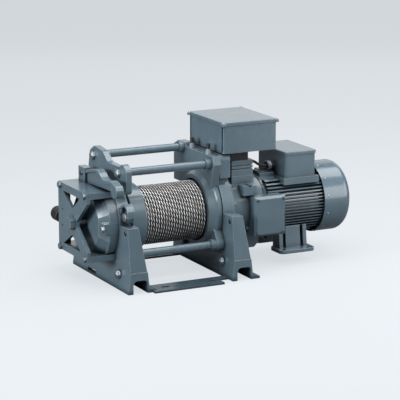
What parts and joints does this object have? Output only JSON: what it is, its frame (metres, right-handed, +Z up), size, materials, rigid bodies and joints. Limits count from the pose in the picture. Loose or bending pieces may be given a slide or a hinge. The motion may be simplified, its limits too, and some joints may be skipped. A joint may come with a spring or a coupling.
{
  "type": "electric winch",
  "caption": "Electric rope winch: grooved rope drum between cast pedestals on tie rods, planetary gear housing, finned brake motor with fan cowl, control box and slotted floor strips.",
  "frame": {"origin": "floor level, at the centre of the four slots in the base strips", "axes": "+X along the drum axis towards the motor, +Y to the back, +Z up"},
  "size_m": [0.87, 0.424, 0.44],
  "materials": {
    "casting_paint": "satin blue-grey machine paint on grey iron",
    "sheet_paint": "satin blue-grey machine paint",
    "motor_paint": "satin blue-grey machine paint on die-cast aluminium",
    "bright_steel": "zinc plated",
    "machined_steel": "ground",
    "rope_wire": "oiled stranded wire",
    "black_rubber": "matt",
    "black_plastic": "matt",
    "pale_plastic": "matt"
  },
  "bodies": {
    "frame": {"bearing_cover": "casting_paint", "bottom_tie_rods": "sheet_paint", "box_support": "casting_paint", "brake_box": "motor_paint", "brake_box_lid": "motor_paint", "brake_magnet": "machined_steel", "cable_gland": "black_plastic", "cage_end_plate": "sheet_paint", "cage_plates": "sheet_paint", "control_box": "sheet_paint", "control_box_lid": "sheet_paint", "control_gear": "black_plastic", "drum_bearings": "machined_steel", "fan_cowl": "sheet_paint", "foot_bolts": "bright_steel", "front_base_strip": "sheet_paint", "gear_housing": "casting_paint", "hexagon_bolts": "bright_steel", "hub_cap": "sheet_paint", "junction_block": "motor_paint", "left_pedestal": "casting_paint", "limit_switch": "sheet_paint", "motor_bearings": "machined_steel", "motor_cable": "black_rubber", "motor_foot": "casting_paint", "motor_frame": "motor_paint", "motor_front_shield": "motor_paint", "motor_rear_shield": "motor_paint", "rear_base_strip": "sheet_paint", "right_end_shield": "casting_paint", "right_pedestal": "casting_paint", "ring_gear": "machined_steel", "saddle_bracket": "casting_paint", "stator_core": "machined_steel", "stud_caps": "black_plastic", "stud_cones": "pale_plastic", "support_pad": "black_rubber", "terminal_board": "black_plastic", "terminal_box": "motor_paint", "terminal_box_lid": "motor_paint", "tie_rod_nuts": "bright_steel", "top_tie_rods": "sheet_paint"},
    "drum": {"drum": "casting_paint", "drum_bell": "casting_paint", "drum_shaft": "machined_steel", "wire_rope": "rope_wire", "output_carrier": "machined_steel"},
    "rotor": {"motor_shaft": "machined_steel", "rotor_core": "machined_steel", "fan": "black_plastic", "friction_disc": "machined_steel"},
    "input_carrier_body": {"input_carrier": "machined_steel"},
    "armature_plate_body": {"armature_plate": "machined_steel"},
    "limit_switch_knob_body": {"limit_switch_knob": "black_plastic"},
    "output_planet_1_body": {"output_planet_1": "machined_steel"},
    "output_planet_2_body": {"output_planet_2": "machined_steel"},
    "output_planet_3_body": {"output_planet_3": "machined_steel"},
    "input_planet_1_body": {"input_planet_1": "machined_steel"},
    "input_planet_2_body": {"input_planet_2": "machined_steel"},
    "input_planet_3_body": {"input_planet_3": "machined_steel"}
  },
  "joints": [
    {"name": "drum_spin", "type": "hinge", "parent": "frame", "child": "drum", "pos_m": [0, 0, 0.174], "axis": [1, 0, 0], "continuous": true},
    {"name": "input_carrier_spin", "type": "hinge", "parent": "frame", "child": "input_carrier_body", "pos_m": [0, 0, 0.174], "axis": [1, 0, 0], "continuous": true},
    {"name": "rotor_spin", "type": "hinge", "parent": "frame", "child": "rotor", "pos_m": [0, 0, 0.174], "axis": [1, 0, 0], "continuous": true},
    {"name": "output_planet_1_spin", "type": "hinge", "parent": "drum", "child": "output_planet_1_body", "pos_m": [0.21, 0, 0.2208], "axis": [1, 0, 0], "continuous": true},
    {"name": "output_planet_2_spin", "type": "hinge", "parent": "drum", "child": "output_planet_2_body", "pos_m": [0.21, -0.04053, 0.1506], "axis": [1, 0, 0], "continuous": true},
    {"name": "output_planet_3_spin", "type": "hinge", "parent": "drum", "child": "output_planet_3_body", "pos_m": [0.21, 0.04053, 0.1506], "axis": [1, 0, 0], "continuous": true},
    {"name": "input_planet_1_spin", "type": "hinge", "parent": "input_carrier_body", "child": "input_planet_1_body", "pos_m": [0.252, 0, 0.2208], "axis": [1, 0, 0], "continuous": true},
    {"name": "input_planet_2_spin", "type": "hinge", "parent": "input_carrier_body", "child": "input_planet_2_body", "pos_m": [0.252, -0.04053, 0.1506], "axis": [1, 0, 0], "continuous": true},
    {"name": "input_planet_3_spin", "type": "hinge", "parent": "input_carrier_body", "child": "input_planet_3_body", "pos_m": [0.252, 0.04053, 0.1506], "axis": [1, 0, 0], "continuous": true},
    {"name": "armature_slide", "type": "slide", "parent": "frame", "child": "armature_plate_body", "axis": [1, 0, 0], "range_m": [0, 0.0005], "stiffness_N_per_m": 2000, "springref_m": -0.01},
    {"name": "knob_turn", "type": "hinge", "parent": "frame", "child": "limit_switch_knob_body", "pos_m": [-0.258, 0.13, 0.169], "axis": [0, 1, 0], "range_deg": [-150, 150]}
  ],
  "couplings": [
    {"joint": "input_carrier_spin", "follows": "drum_spin", "ratio": 6},
    {"joint": "rotor_spin", "follows": "drum_spin", "ratio": 36},
    {"joint": "output_planet_1_spin", "follows": "drum_spin", "ratio": -2.5},
    {"joint": "output_planet_2_spin", "follows": "drum_spin", "ratio": -2.5},
    {"joint": "output_planet_3_spin", "follows": "drum_spin", "ratio": -2.5},
    {"joint": "input_planet_1_spin", "follows": "drum_spin", "ratio": -15},
    {"joint": "input_planet_2_spin", "follows": "drum_spin", "ratio": -15},
    {"joint": "input_planet_3_spin", "follows": "drum_spin", "ratio": -15}
  ]
}
